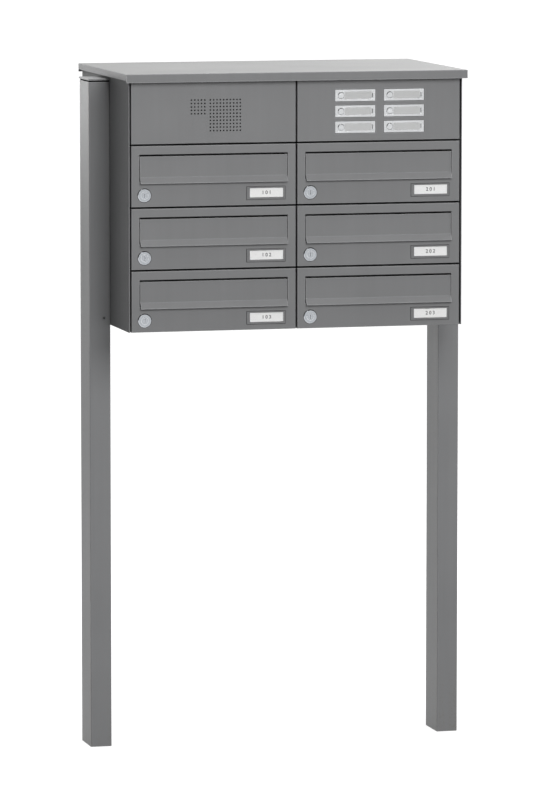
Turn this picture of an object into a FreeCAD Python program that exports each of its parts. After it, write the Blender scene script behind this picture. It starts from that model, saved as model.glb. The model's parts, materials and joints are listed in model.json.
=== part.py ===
import FreeCAD, Part
import math
import os
import re

import Sketcher
from FreeCAD import Placement, Rotation, Vector

# A free-standing cluster mailbox unit: two posts carry a body with two columns of compartments.
# Part frame: +Z up, the front faces -Y, X = 0 lies midway between the columns, Z = 0 is the ground,
# and the origin is under the middle of the unit's outer box.
# Every compartment has its own frame: X from its left grid line, Z from its lower grid line and Y
# backwards from the front face of the doors.

DIMENSIONS = [
    ("column_pitch", 300.0, "grid width of one compartment"),
    ("row_pitch", 110.0, "grid height of one compartment"),
    ("grid_base", 757.0, "height of the lowest grid line above the ground"),
    ("door_gap", 3.0, "gap between neighbouring fronts"),
    ("sheet", 1.5, "thickness of the folded sheet"),
    ("cladding_offset", 3.0, "outer face of a side panel beyond the grid"),
    ("roof_width", 619.0, "roof tray, left to right"),
    ("roof_depth", 384.0, "roof tray, front to back"),
    ("roof_skirt", 15.0, "height of the roof tray at its front and back"),
    ("side_skirt", 11.0, "height of the roof tray at its sides"),
    ("roof_overhang", 12.0, "roof ahead of the door fronts"),
    ("body_height", 453.0, "lowest grid line to the underside of the roof sheet"),
    ("body_depth", 370.0, "door fronts to the back of the rear panel"),
    ("post_width", 38.0, "post section across the unit"),
    ("post_depth", 75.0, "post section, front to back"),
    ("post_wall", 2.5, "wall of the post tube"),
    ("post_height", 1190.0, "length of the post tube"),
    ("post_front", 147.0, "door fronts to the front face of a post"),
    ("post_corner", 2.0, "outer corner radius of the post tube"),
    ("cap_neck", 3.0, "post end to the underside of the cap plate"),
    ("cap_thickness", 3.0, "post cap plate"),
    ("cap_overhang", 1.0, "post cap plate beyond the post"),
    ("cap_plug", 10.0, "length of the cap's plug in the tube"),
    ("box_front", 15.0, "door fronts to the front of the inner boxes"),
    ("box_rear", 367.0, "door fronts to the back of the inner boxes"),
    ("box_rim", 8.0, "front rim of an inner box"),
    ("box_hinge_rim", 16.0, "front rim on the hinge side"),
    ("door_depth", 12.0, "depth of a door's return flanges"),
    ("door_edge", 1.2, "rounding of a door's front edge"),
    ("hinge_inset", 5.0, "hinge axis from the door's right edge"),
    ("hinge_depth", 5.5, "hinge axis behind the door front"),
    ("pin_diameter", 4.0, "hinge pin"),
    ("pin_clearance", 0.15, "hinge pin hole over the pin"),
    ("pin_length", 6.8, "hinge pin"),
    ("pin_end", 0.2, "hinge pin end inside the door's edge"),
    ("lug_thickness", 3.4, "hinge lug"),
    ("lug_gap", 1.1, "hinge lug to the door's flange"),
    ("lug_radius", 3.0, "barrel of a hinge lug"),
    ("lug_web", 1.5, "hinge lug arm outside the axis"),
    ("notch_front", 3.0, "start of the flange notch for a lug"),
    ("notch_margin", 1.0, "flange notch beyond a lug"),
    ("flap_side", 16.0, "grid line to the letter slot"),
    ("slot_bottom", 46.0, "lower edge of the letter slot"),
    ("slot_top", 92.3, "upper edge of the letter slot"),
    ("slot_edge", 0.5, "rounding of the letter slot"),
    ("flap_left_gap", 1.6, "left end of the flap to the slot's side"),
    ("flap_right_gap", 0.4, "right end of the flap to the slot's side"),
    ("flap_top", 90.2, "upper edge of the flap"),
    ("flap_inset", 2.5, "flap face behind the door front"),
    ("flap_bend", 53.5, "height of the bend above the lip"),
    ("lip_bottom", 42.8, "front lower edge of the lip"),
    ("lip_reach", 6.0, "lip ahead of the door front"),
    ("rod_depth", 6.2, "flap rod behind the door front"),
    ("rod_height", 87.5, "flap rod above the grid line"),
    ("rod_diameter", 4.0, "flap rod"),
    ("rod_clearance", 0.15, "bracket hole over the flap rod"),
    ("ear_bottom", 84.0, "lower edge of a flap ear"),
    ("ear_rear", 9.0, "rear edge of a flap ear"),
    ("bracket_offset", 1.0, "slot side to the flap bracket"),
    ("bracket_bottom", 82.5, "lower edge of a flap bracket"),
    ("bracket_top", 96.0, "upper edge of a flap bracket"),
    ("bracket_rear", 10.5, "rear edge of a flap bracket"),
    ("rod_end", 0.5, "flap rod beyond its bracket"),
    ("lock_across", 25.0, "lock axis from the left grid line"),
    ("lock_height", 22.0, "lock axis above the grid line"),
    ("lock_disc", 24.0, "rosette of the lock"),
    ("lock_disc_height", 1.8, "rosette thickness"),
    ("lock_barrel", 19.0, "lock barrel"),
    ("lock_barrel_rear", 16.5, "door front to the end of the barrel"),
    ("plug_diameter", 13.0, "turning plug of the lock"),
    ("plug_clearance", 0.2, "barrel bore over the plug"),
    ("plug_proud", 0.2, "plug ahead of the rosette"),
    ("keyway_width", 1.6, "keyway"),
    ("keyway_length", 8.0, "keyway"),
    ("keyway_depth", 5.0, "keyway"),
    ("lock_nut", 26.0, "lock nut across its corners"),
    ("lock_nut_height", 4.0, "lock nut"),
    ("cam_gap", 0.6, "cam behind the barrel"),
    ("cam_thickness", 2.0, "lock cam"),
    ("cam_hub", 15.0, "hub of the lock cam"),
    ("cam_width", 10.0, "arm of the lock cam"),
    ("cam_reach", 15.0, "axis to the centre of the cam's round end"),
    ("cam_screw", 8.0, "head of the cam screw"),
    ("cam_screw_height", 2.6, "head of the cam screw"),
    ("plate_left", 209.4, "nameplate holder from the left grid line"),
    ("plate_right", 279.4, "nameplate holder from the left grid line"),
    ("plate_bottom", 11.4, "nameplate holder above the grid line"),
    ("plate_top", 33.9, "nameplate holder above the grid line"),
    ("plate_proud", 0.8, "nameplate holder ahead of the door"),
    ("plate_rear", 3.6, "nameplate holder behind the door front"),
    ("plate_lap", 2.0, "holder bezel over the edge of its cut-out"),
    ("window_left", 215.1, "label window from the left grid line"),
    ("window_right", 276.0, "label window from the left grid line"),
    ("window_bottom", 14.9, "label window above the grid line"),
    ("window_top", 31.6, "label window above the grid line"),
    ("window_floor", 0.7, "label window's floor behind the door front"),
    ("service_base", 333.0, "underside of the service box above the grid base"),
    ("panel_top", 445.0, "upper edge of the top panels above the grid base"),
    ("hole_diameter", 3.0, "sound hole"),
    ("hole_pitch", 6.0, "sound hole pitch"),
    ("speaker_left", 144.0, "first sound hole of the speaker field"),
    ("microphone_left", 110.0, "first sound hole of the microphone field"),
    ("holes_top", 407.6, "top row of sound holes above the grid base"),
    ("speaker_count", 10, "sound holes along the speaker field"),
    ("microphone_count", 5, "sound holes along the microphone field"),
    ("intercom_left", 98.0, "intercom housing from the left grid line"),
    ("intercom_right", 212.0, "intercom housing from the left grid line"),
    ("intercom_bottom", 345.0, "intercom housing above the grid base"),
    ("intercom_top", 432.0, "intercom housing above the grid base"),
    ("intercom_rear", 45.0, "intercom housing behind the fronts"),
    ("intercom_wall", 2.0, "intercom housing wall"),
    ("speaker_diameter", 64.0, "rim of the loudspeaker"),
    ("speaker_front", 3.0, "loudspeaker rim behind the panel front"),
    ("speaker_rim", 3.0, "thickness of the loudspeaker's rim"),
    ("speaker_dish", 1.5, "hollow of the cone below its rim"),
    ("speaker_basket", 60.0, "loudspeaker basket where it meets the rim"),
    ("magnet_diameter", 36.0, "magnet of the loudspeaker"),
    ("magnet_front", 25.0, "loudspeaker magnet behind the panel front"),
    ("microphone_diameter", 12.0, "microphone"),
    ("microphone_rear", 8.0, "back of the microphone behind the panel front"),
    ("bell_left", 70.2, "first bell plate from the left grid line"),
    ("bell_across", 89.0, "bell plate pitch across"),
    ("bell_base", 345.4, "lowest bell plate above the grid base"),
    ("bell_up", 28.0, "bell plate pitch up"),
    ("bell_width", 73.6, "bell plate"),
    ("bell_height", 20.6, "bell plate"),
    ("bell_inset", 0.3, "bell plate behind the panel front"),
    ("bell_rear", 6.0, "bell plate body behind the panel front"),
    ("bell_gap", 0.7, "gap round a bell plate"),
    ("bell_lap", 2.1, "back of a bell plate beyond its front"),
    ("bell_border", 3.4, "raised border of a bell plate"),
    ("bell_field", 0.6, "depth of a bell plate's field"),
    ("bell_slot_across", 5.4, "label catch from the plate's right edge"),
    ("bell_slot_width", 1.2, "label catch"),
    ("bell_slot_height", 8.0, "label catch"),
    ("button_across", 11.0, "button axis from the plate's left edge"),
    ("button_diameter", 11.0, "button cap"),
    ("button_clearance", 0.8, "button hole over the cap"),
    ("button_proud", 0.7, "button ahead of the panel front"),
    ("button_travel", 1.5, "button travel"),
    ("button_cap_rear", 3.0, "back of the button cap behind the panel front"),
    ("button_stem", 5.0, "button stem"),
    ("button_rear", 8.0, "end of the button stem behind the panel front"),
    ("switch_size", 14.0, "bell switch"),
    ("switch_depth", 12.0, "bell switch"),
    ("switch_bracket", 2.0, "legs that tie a bell switch to its plate"),
    ("bolt_diameter", 8.0, "post bolt"),
    ("bolt_clearance", 0.4, "bolt hole over the bolt"),
    ("bolt_head", 14.0, "head of a post bolt"),
    ("bolt_head_height", 4.5, "head of a post bolt"),
    ("bolt_end", 17.0, "grid side to the end of a post bolt"),
    ("nut_diameter", 11.0, "rivet nut in the post"),
    ("nut_length", 10.0, "rivet nut in the post"),
    ("bolt_front", 165.0, "front post bolts behind the door fronts"),
    ("bolt_spread", 39.0, "front to rear post bolts"),
    ("bolt_low", 40.0, "lower post bolts above the grid base"),
    ("bolt_high", 395.0, "upper post bolts above the grid base"),
    ("spacer_front", 140.0, "spacer strip behind the door fronts"),
    ("spacer_rear", 230.0, "spacer strip behind the door fronts"),
    ("spacer_bottom", 25.0, "spacer strip above the grid base"),
    ("spacer_top", 430.0, "spacer strip above the grid base"),
    ("rear_flange", 14.0, "inward rear flange of a side panel"),
    ("floor_flange", 15.0, "upward side flange of the bottom panel"),
    ("screw_diameter", 4.0, "cover screw"),
    ("screw_head", 7.5, "head of a cover screw"),
    ("screw_head_height", 1.4, "head of a cover screw"),
    ("screw_inset", 7.0, "rear screws from the side panel's outer face"),
    ("screw_low", 20.0, "lowest rear screws above the grid base"),
    ("screw_step", 138.0, "rear screw pitch"),
    ("post_screw_across", 12.0, "post screw from the inner face of its post"),
    ("post_screw_height", 14.0, "post screw above the grid base"),
]

COLUMNS = ["left", "right"]
ROWS = ["bottom", "middle", "top"]
BELL_ROWS = ["bottom", "middle", "top"]
REAR_SCREWS = 4  # screws down each side of the rear panel
PAST = 1.0  # how far a cutting shape runs past the face it opens
OWN_OFFSET = -1.0  # stands in a pattern's list of spacings for the pattern's own offset

document = FreeCAD.newDocument("cluster_mailbox_unit")
sheet = document.addObject("Spreadsheet::Sheet", "Sheet")
for row, (alias, number, note) in enumerate(DIMENSIONS, 1):
    sheet.set(f"A{row}", alias)
    sheet.set(f"B{row}", str(number))
    sheet.set(f"C{row}", note)
    sheet.setAlias(f"B{row}", alias)
document.recompute()

ALIASES = {alias for alias, number, note in DIMENSIONS}
WORD = re.compile(r"[A-Za-z_]+")
PLANES = {"XY": 1, "XZ": -1, "YZ": 1}  # which way each origin plane's normal points along its axis
HALF_GAP = "door_gap / 2"

sub_parts = []


# Expressions and placements


def on_sheet(expression):
    """An expression in plain aliases, written the way the document reads it."""
    return WORD.sub(lambda word: "Sheet." + word[0] if word[0] in ALIASES else word[0], str(expression))


def value(expression):
    """What an expression in plain aliases comes to."""
    return float(sheet.evalExpression(on_sheet(expression)))


def bind(thing, place, expression):
    """Ties one property of an object to the sheet."""
    thing.setExpression(place, on_sheet(expression))


def place(thing, x, y, z):
    """Puts an object at a point whose coordinates are expressions."""
    for axis, expression in zip("xyz", (x, y, z)):
        bind(thing, f"Placement.Base.{axis}", expression)


FRONT = "roof_overhang - roof_depth / 2"  # the door fronts, in the part frame


def keep(thing, label):
    """Lists an object as a finished sub-part under its own name."""
    thing.Label = label
    sub_parts.append(thing)
    return thing


def group(label, things):
    """One sub-part made of several separate solids."""
    compound = document.addObject("Part::Compound", label)
    compound.Links = things
    return keep(compound, label)


# Sketches


def rectangle(left, low, right, high):
    return ("outline", [(left, low), (right, low), (right, high), (left, high)])


def inset_rectangle(left, low, right, high, by):
    """A rectangle drawn in from four lines by the same distance."""
    return rectangle(f"{left} + {by}", f"{low} + {by}", f"{right} - {by}", f"{high} - {by}")


def circle(across, up, diameter):
    return ("circle", across, up, diameter)


def outline(points):
    return ("outline", points)


def draw_outline(sketch, points):
    """A closed run of straight lines with every corner tied to the sheet."""
    corners = [Vector(value(across), value(up), 0) for across, up in points]
    first = sketch.GeometryCount
    for index, corner in enumerate(corners):
        following = corners[(index + 1) % len(corners)]
        sketch.addGeometry(Part.LineSegment(corner, following), False)
    for index, (across, up) in enumerate(points):
        line = first + index
        following = first + (index + 1) % len(points)
        sketch.addConstraint(Sketcher.Constraint("Coincident", line, 2, following, 1))
        for kind, expression in (("DistanceX", across), ("DistanceY", up)):
            number = value(expression)
            constraint = sketch.addConstraint(Sketcher.Constraint(kind, -1, 1, line, 1, number))
            bind(sketch, f"Constraints[{constraint}]", expression)


def draw_circle(sketch, across, up, diameter):
    """A circle with its centre and diameter tied to the sheet."""
    centre = Vector(value(across), value(up), 0)
    ring = sketch.addGeometry(Part.Circle(centre, Vector(0, 0, 1), value(diameter) / 2), False)
    for kind, expression in (("DistanceX", across), ("DistanceY", up)):
        constraint = sketch.addConstraint(Sketcher.Constraint(kind, -1, 1, ring, 3, value(expression)))
        bind(sketch, f"Constraints[{constraint}]", expression)
    constraint = sketch.addConstraint(Sketcher.Constraint("Diameter", ring, value(diameter)))
    bind(sketch, f"Constraints[{constraint}]", diameter)


def origin_feature(body, role):
    """One of a body's own origin planes or axes."""
    return next(feature for feature in body.Origin.OriginFeatures if feature.Role == role)


def new_sketch(body, name, plane, start, shapes):
    """A sketch on one of the body's own origin planes, moved along that plane's axis to start."""
    sketch = body.newObject("Sketcher::SketchObject", name)
    sketch.AttachmentSupport = (origin_feature(body, f"{plane}_Plane"), [""])
    sketch.MapMode = "FlatFace"
    bind(sketch, "AttachmentOffset.Base.z", f"{PLANES[plane]} * ({start})")
    for shape in shapes:
        if shape[0] == "circle":
            draw_circle(sketch, *shape[1:])
        else:
            draw_outline(sketch, shape[1])
    return sketch


# Features


def new_body(name, x="0", y=FRONT, z="grid_base"):
    body = document.addObject("PartDesign::Body", name)
    place(body, x, y, z)
    return body


def extrude(body, kind, name, plane, start, length, shapes):
    """A Pad or a Pocket that runs from start towards the plane's positive axis."""
    sketch = new_sketch(body, f"{body.Name}_{name}_sketch", plane, start, shapes)
    feature = body.newObject(f"PartDesign::{kind}", f"{body.Name}_{name}")
    feature.Profile = sketch
    bind(feature, "Length", length)
    along_normal = PLANES[plane] > 0
    feature.Reversed = along_normal if kind == "Pocket" else not along_normal
    return feature


def pad(body, name, plane, start, length, *shapes):
    return extrude(body, "Pad", name, plane, start, length, shapes)


def pocket(body, name, plane, start, length, *shapes):
    return extrude(body, "Pocket", name, plane, start, length, shapes)


def block(body, name, x_range, y_range, z_range):
    """A plain box pad between three pairs of expressions."""
    low, high = z_range
    footprint = rectangle(x_range[0], y_range[0], x_range[1], y_range[1])
    return pad(body, name, "XY", low, f"({high}) - ({low})", footprint)


def revolve(body, name, points):
    """A solid of revolution about the body's own Y axis, from (radius, depth) points."""
    sketch = new_sketch(body, f"{body.Name}_{name}_sketch", "XY", "0", [outline(points)])
    feature = body.newObject("PartDesign::Revolution", f"{body.Name}_{name}")
    feature.Profile = sketch
    feature.ReferenceAxis = (sketch, ["V_Axis"])
    feature.Angle = 360.0
    return feature


def round_edges(body, name, radius, wanted):
    """Rounds the edges of the body so far that pass a test."""
    document.recompute()
    base = body.Tip
    names = [f"Edge{number}" for number, edge in enumerate(base.Shape.Edges, 1) if wanted(edge)]
    fillet = body.newObject("PartDesign::Fillet", f"{body.Name}_{name}")
    fillet.Base = (base, names)
    bind(fillet, "Radius", radius)
    return fillet


def edge_lies_at(axis, position):
    """A test for edges that lie in one plane across an axis, in the body's own frame."""
    at = value(position)

    def wanted(edge):
        box = edge.BoundBox
        low, high = getattr(box, f"{axis}Min"), getattr(box, f"{axis}Max")
        return abs(low - at) < 1e-4 and abs(high - at) < 1e-4

    return wanted


def edge_runs_along(axis, at_least):
    """A test for straight edges along one axis and no shorter than a length."""
    shortest = value(at_least)

    def wanted(edge):
        box = edge.BoundBox
        spans = {"X": box.XLength, "Y": box.YLength, "Z": box.ZLength}
        along = spans.pop(axis)
        return along >= shortest and max(spans.values()) < 1e-4

    return wanted


def both(first, second):
    return lambda edge: first(edge) and second(edge)


def cylinder(name, x, y, z, diameter, length, axis=Vector(0, 0, 1)):
    """A round bar from a point along an axis, in the part frame shifted to the body's grid."""
    bar = document.addObject("Part::Cylinder", name)
    bind(bar, "Radius", f"({diameter}) / 2")
    bind(bar, "Height", length)
    bar.Placement = Placement(Vector(), Rotation(Vector(0, 0, 1), axis))
    place(bar, x, f"({y}) + {FRONT}", f"({z}) + grid_base")
    return bar


def boolean(kind, name, base, tool):
    joined = document.addObject(f"Part::{kind}", name)
    joined.Base = base
    joined.Tool = tool
    return joined


# Left and right


def span(side, near, far):
    """An X range beside the middle plane: near and far are distances from it."""
    if side == "right":
        return (near, far)
    return (f"-({far})", f"-({near})")


def pad_across(body, name, side, near, far, *shapes):
    low, high = span(side, near, far)
    return pad(body, name, "YZ", low, f"({high}) - ({low})", *shapes)


def pocket_across(body, name, side, near, far, *shapes):
    low, high = span(side, near, far)
    return pocket(body, name, "YZ", low, f"({high}) - ({low})", *shapes)


def bolt_circles(diameter, heights):
    """The post bolts' circles, looking along X."""
    fronts = ["bolt_front", "bolt_front + bolt_spread"]
    return [circle(front, height, diameter) for front in fronts for height in heights]


SIDE_OUTER = "column_pitch + cladding_offset"
SIDE_INNER = f"{SIDE_OUTER} - sheet"
REAR_INNER = "body_depth - sheet"
BOLT_HOLE = "bolt_diameter + bolt_clearance"
BOLT_HEIGHTS = ["bolt_low", "bolt_high"]
POST_OUTER = f"{SIDE_OUTER} + post_width"


# Frame and cladding


def make_post(side):
    post = new_body(f"{side}_post", z="0")
    near, far = span(side, SIDE_OUTER, POST_OUTER)
    inner_near, inner_far = span(side, f"{SIDE_OUTER} + post_wall", f"{POST_OUTER} - post_wall")
    outer = rectangle(near, "post_front", far, "post_front + post_depth")
    inner = rectangle(inner_near, "post_front + post_wall", inner_far, "post_front + post_depth - post_wall")
    pad(post, "tube", "XY", "0", "post_height", outer, inner)
    centre = value(f"({near} + {far}) / 2")
    half_width = value("post_width / 2")

    def outer_corner(edge):
        return abs(abs(edge.BoundBox.Center.x - centre) - half_width) < 1e-4

    round_edges(post, "corners", "post_corner", both(edge_runs_along("Z", "post_height"), outer_corner))
    holes = bolt_circles(BOLT_HOLE, [f"{height} + grid_base" for height in BOLT_HEIGHTS])
    wall_end = f"{SIDE_OUTER} + post_wall + {PAST}"
    pocket_across(post, "bolt_holes", side, f"{SIDE_OUTER} - {PAST}", wall_end, *holes)
    screw_x = span(side, f"{SIDE_OUTER} + post_screw_across", "0")[0 if side == "right" else 1]
    screw_hole = circle(screw_x, "post_screw_height + grid_base", "screw_diameter")
    pocket(post, "screw_hole", "XZ", f"post_front - {PAST}", f"post_wall + 2 * {PAST}", screw_hole)
    return keep(post, f"{side}_post")


def make_post_cap(side):
    cap = new_body(f"{side}_cap", z="post_height")
    near, far = SIDE_OUTER, f"{POST_OUTER} + cap_overhang"
    y_range = ("post_front - cap_overhang", "post_front + post_depth + cap_overhang")
    top = "cap_neck + cap_thickness"
    block(cap, "plate", span(side, near, far), y_range, ("cap_neck", top))
    round_edges(cap, "edge", "cap_overhang / 2", edge_lies_at("Z", top))
    plug_x = span(side, f"{SIDE_OUTER} + post_wall", f"{POST_OUTER} - post_wall")
    plug_y = ("post_front + post_wall", "post_front + post_depth - post_wall")
    block(cap, "plug", plug_x, plug_y, ("-cap_plug", "cap_neck"))
    return cap


def make_side_panel(side):
    """Outer sheet with a spacer strip against the boxes and an inward flange at the back."""
    panel = new_body(f"{side}_side_panel")
    sheet_outline = rectangle("0", HALF_GAP, REAR_INNER, "body_height")
    pad_across(panel, "sheet", side, SIDE_INNER, SIDE_OUTER, sheet_outline)
    far_face = value(SIDE_OUTER)

    def outer_front(edge):
        return abs(abs(edge.BoundBox.Center.x) - far_face) < 1e-4 and edge.BoundBox.YMax < 1e-4

    round_edges(panel, "front_edge", "sheet / 2", outer_front)
    strip = rectangle("spacer_front", "spacer_bottom", "spacer_rear", "spacer_top")
    pad_across(panel, "spacer", side, "column_pitch", SIDE_INNER, strip)
    flange_x = span(side, f"{SIDE_OUTER} - rear_flange", SIDE_INNER)
    block(panel, "rear_flange", flange_x, ("box_rear", REAR_INNER), ("door_gap", "body_height"))
    holes = bolt_circles(BOLT_HOLE, BOLT_HEIGHTS)
    pocket_across(panel, "bolt_holes", side, f"column_pitch - {PAST}", f"{SIDE_OUTER} + {PAST}", *holes)
    screws = [circle(span(side, x, x)[0], z, "screw_diameter") for x, z in rear_screw_places()]
    pocket(panel, "screw_holes", "XZ", f"box_rear - {PAST}", f"sheet + 2 * {PAST}", *screws)
    return keep(panel, f"{side}_side_panel")


def rear_screw_places():
    """Distance from the middle plane and height of the rear screws on one side."""
    across = f"{SIDE_OUTER} - screw_inset"
    return [(across, f"screw_low + {index} * screw_step") for index in range(REAR_SCREWS)]


def make_rear_panel():
    panel = new_body("rear_panel")
    outline_shape = rectangle(f"-({SIDE_OUTER})", HALF_GAP, SIDE_OUTER, "body_height")
    pad(panel, "sheet", "XZ", REAR_INNER, "sheet", outline_shape)
    screws = []
    for side in COLUMNS:
        screws += [circle(span(side, x, x)[0], z, "screw_diameter") for x, z in rear_screw_places()]
    pocket(panel, "screw_holes", "XZ", f"{REAR_INNER} - {PAST}", f"sheet + 2 * {PAST}", *screws)
    return keep(panel, "rear_panel")


def make_bottom_panel():
    """Floor sheet with a flange up each side, between the boxes and the side panels."""
    panel = new_body("bottom_panel")
    floor_y = ("box_front", REAR_INNER)
    block(panel, "floor", (f"-({SIDE_INNER})", SIDE_INNER), floor_y, (HALF_GAP, "door_gap"))
    for side in COLUMNS:
        flange_z = ("door_gap", "door_gap + floor_flange")
        flange_y = ("box_front", "box_rear")
        block(panel, f"{side}_flange", span(side, "column_pitch", SIDE_INNER), flange_y, flange_z)
    return keep(panel, "bottom_panel")


def make_roof():
    """A shallow tray, open below, with lower sides that clear the post caps."""
    roof = new_body("roof")
    top = "body_height + sheet"
    bottom = f"{top} - roof_skirt"
    half = "roof_width / 2"
    rear = "roof_depth - roof_overhang"
    block(roof, "slab", (f"-{half}", half), ("-roof_overhang", rear), (bottom, top))
    inner_x = (f"-{half} + sheet", f"{half} - sheet")
    inner = rectangle(inner_x[0], "sheet - roof_overhang", inner_x[1], f"{rear} - sheet")
    pocket(roof, "hollow", "XY", f"{bottom} - {PAST}", f"roof_skirt - sheet + {PAST}", inner)
    for side in COLUMNS:
        across = span(side, f"{half} - sheet - {PAST}", f"{half} + {PAST}")
        below_side = rectangle(across[0], "sheet - roof_overhang", across[1], f"{rear} - sheet")
        pocket(roof, f"{side}_skirt", "XY", bottom, "roof_skirt - side_skirt", below_side)
    round_edges(roof, "top_edge", "door_edge", edge_lies_at("Z", top))
    return keep(roof, "roof")


# Letter boxes


def compartment(name, column, row=0):
    """A body in one compartment's own frame."""
    return new_body(name, x=f"{column - 1} * column_pitch", z=f"grid_base + {row} * row_pitch")


HINGE_X = f"column_pitch - {HALF_GAP} - hinge_inset"
DOOR_RIGHT = f"column_pitch - {HALF_GAP}"
DOOR_TOP = f"row_pitch - {HALF_GAP}"
LUG_RANGES = [
    ("door_gap + lug_gap", "door_gap + lug_gap + lug_thickness"),
    ("row_pitch - door_gap - lug_gap - lug_thickness", "row_pitch - door_gap - lug_gap"),
]


def make_mailbox_box(column, row):
    """Inner box, open at the front inside a rim, with two hinge lugs ahead of the rim."""
    name = f"mailbox_box_{COLUMNS[column]}_{ROWS[row]}"
    box = compartment(name, column, row)
    z_range = ("door_gap", "door_gap + row_pitch")
    block(box, "shell", ("0", "column_pitch"), ("box_front", "box_rear"), z_range)
    inside = rectangle("sheet", "door_gap + sheet", "column_pitch - sheet", "door_gap + row_pitch - sheet")
    depth = "box_rear - box_front - 2 * sheet"
    pocket(box, "inside", "XZ", "box_front + sheet", depth, inside)
    mouth_right = "column_pitch - box_hinge_rim"
    mouth = rectangle("box_rim", "door_gap + box_rim", mouth_right, "door_gap + row_pitch - box_rim")
    pocket(box, "mouth", "XZ", f"box_front - {PAST}", f"sheet + 2 * {PAST}", mouth)
    for number, (low, high) in enumerate(LUG_RANGES):
        x_range = (f"{HINGE_X} - lug_radius", f"{HINGE_X} + lug_web")
        block(box, f"lug_{number}", x_range, ("hinge_depth", "box_front"), (low, high))
        barrel = circle(HINGE_X, "hinge_depth", "2 * lug_radius")
        pad(box, f"barrel_{number}", "XY", low, "lug_thickness", barrel)
    pin_hole = circle(HINGE_X, "hinge_depth", "pin_diameter")
    pocket(box, "pin_hole", "XY", "0", "row_pitch", pin_hole)
    if row == 0:
        wall_x = ["0", "column_pitch - sheet"][column]
        holes = bolt_circles(BOLT_HOLE, ["bolt_low"])
        pocket(box, "bolt_holes", "YZ", f"{wall_x} - {PAST}", f"sheet + 2 * {PAST}", *holes)
    return keep(box, name)


def make_door(column, row):
    """Folded tray with a letter slot, a lock hole, a label cut-out and flap brackets."""
    name = f"door_{COLUMNS[column]}_{ROWS[row]}"
    door = compartment(name, column, row)
    face = rectangle(HALF_GAP, HALF_GAP, DOOR_RIGHT, DOOR_TOP)
    pad(door, "tray", "XZ", "0", "door_depth", face)
    inner = rectangle("door_gap", "door_gap", "column_pitch - door_gap", "row_pitch - door_gap")
    pocket(door, "hollow", "XZ", "sheet", "door_depth", inner)
    round_edges(door, "front_edge", "door_edge", edge_lies_at("Y", "0"))
    through = ("XZ", f"-{PAST}", f"sheet + 2 * {PAST}")
    slot = rectangle("flap_side", "slot_bottom", "column_pitch - flap_side", "slot_top")
    pocket(door, "letter_slot", *through, slot)
    pocket(door, "lock_hole", *through, circle("lock_across", "lock_height", "lock_barrel"))
    cut_out = inset_rectangle("plate_left", "plate_bottom", "plate_right", "plate_top", "plate_lap")
    pocket(door, "label_cut_out", *through, cut_out)
    slot_low, slot_high = value("slot_bottom"), value("slot_top")

    def slot_front(edge):
        box = edge.BoundBox
        return abs(box.YMax) < 1e-4 and box.ZMin > slot_low - 0.01 and box.ZMax < slot_high + 0.01

    round_edges(door, "slot_edge", "slot_edge", slot_front)
    pin_hole = circle(HINGE_X, "hinge_depth", "pin_diameter + pin_clearance")
    pocket(door, "pin_holes", "XY", "0", "row_pitch", pin_hole)
    notches = []
    for low, high in LUG_RANGES:
        notch_low, notch_high = f"{low} - notch_margin", f"{high} + notch_margin"
        notches.append(rectangle("notch_front", notch_low, f"door_depth + {PAST}", notch_high))
    pocket(door, "lug_notches", "YZ", "column_pitch - door_gap", f"sheet + {PAST}", *notches)
    bracket = rectangle("sheet", "bracket_bottom", "bracket_rear", "bracket_top")
    bracket_left = "flap_side - bracket_offset - sheet"
    pad(door, "left_bracket", "YZ", bracket_left, "sheet", bracket)
    pad(door, "right_bracket", "YZ", "column_pitch - flap_side + bracket_offset", "sheet", bracket)
    rod_hole = circle("rod_depth", "rod_height", "rod_diameter + rod_clearance")
    rod_span = f"column_pitch - 2 * ({bracket_left} - {PAST})"
    pocket(door, "rod_holes", "YZ", f"{bracket_left} - {PAST}", rod_span, rod_hole)
    return keep(door, name)


def make_flap(column, row):
    """Bent sheet with a lip that stands out at the bottom, hung by two ears on a loose rod."""
    name = f"flap_{COLUMNS[column]}_{ROWS[row]}"
    plate = compartment(f"{name}_plate", column, row)
    fall = "(flap_bend - lip_bottom)"
    reach = "(flap_inset + lip_reach)"
    slope = math.hypot(value(fall), value(reach))
    across = f"sheet * {fall} / {slope}"
    down = f"sheet * {reach} / {slope}"
    bend_drop = f"sheet * ({slope} - {fall}) / {reach}"
    profile = outline(
        [
            ("flap_inset", "flap_top"),
            ("flap_inset", "flap_bend"),
            ("-lip_reach", "lip_bottom"),
            (f"-lip_reach + {across}", f"lip_bottom - {down}"),
            ("flap_inset + sheet", f"flap_bend - {bend_drop}"),
            ("flap_inset + sheet", "flap_top"),
        ]
    )
    left = "flap_side + flap_left_gap"
    width = "column_pitch - 2 * flap_side - flap_left_gap - flap_right_gap"
    pad(plate, "sheet", "YZ", left, width, profile)
    round_edges(plate, "bends", "sheet / 3", edge_runs_along("X", width))
    ear = rectangle("flap_inset + sheet", "ear_bottom", "ear_rear", "flap_top")
    pad(plate, "left_ear", "YZ", left, "sheet", ear)
    pad(plate, "right_ear", "YZ", "column_pitch - flap_side - flap_right_gap - sheet", "sheet", ear)
    pocket(plate, "rod_hole", "YZ", left, width, circle("rod_depth", "rod_height", "rod_diameter"))
    bracket = "flap_side - bracket_offset - sheet"
    rod = cylinder(
        f"{name}_rod",
        f"{column - 1} * column_pitch + {bracket} - rod_end",
        "rod_depth",
        f"{row} * row_pitch + rod_height",
        "rod_diameter",
        f"column_pitch - 2 * ({bracket} - rod_end)",
        Vector(1, 0, 0),
    )
    return group(name, [plate, rod])


def lock_frame(name, column, row):
    """A body whose Y axis is one compartment's lock axis."""
    x = f"{column - 1} * column_pitch + lock_across"
    return new_body(name, x=x, z=f"grid_base + {row} * row_pitch + lock_height")


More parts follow.
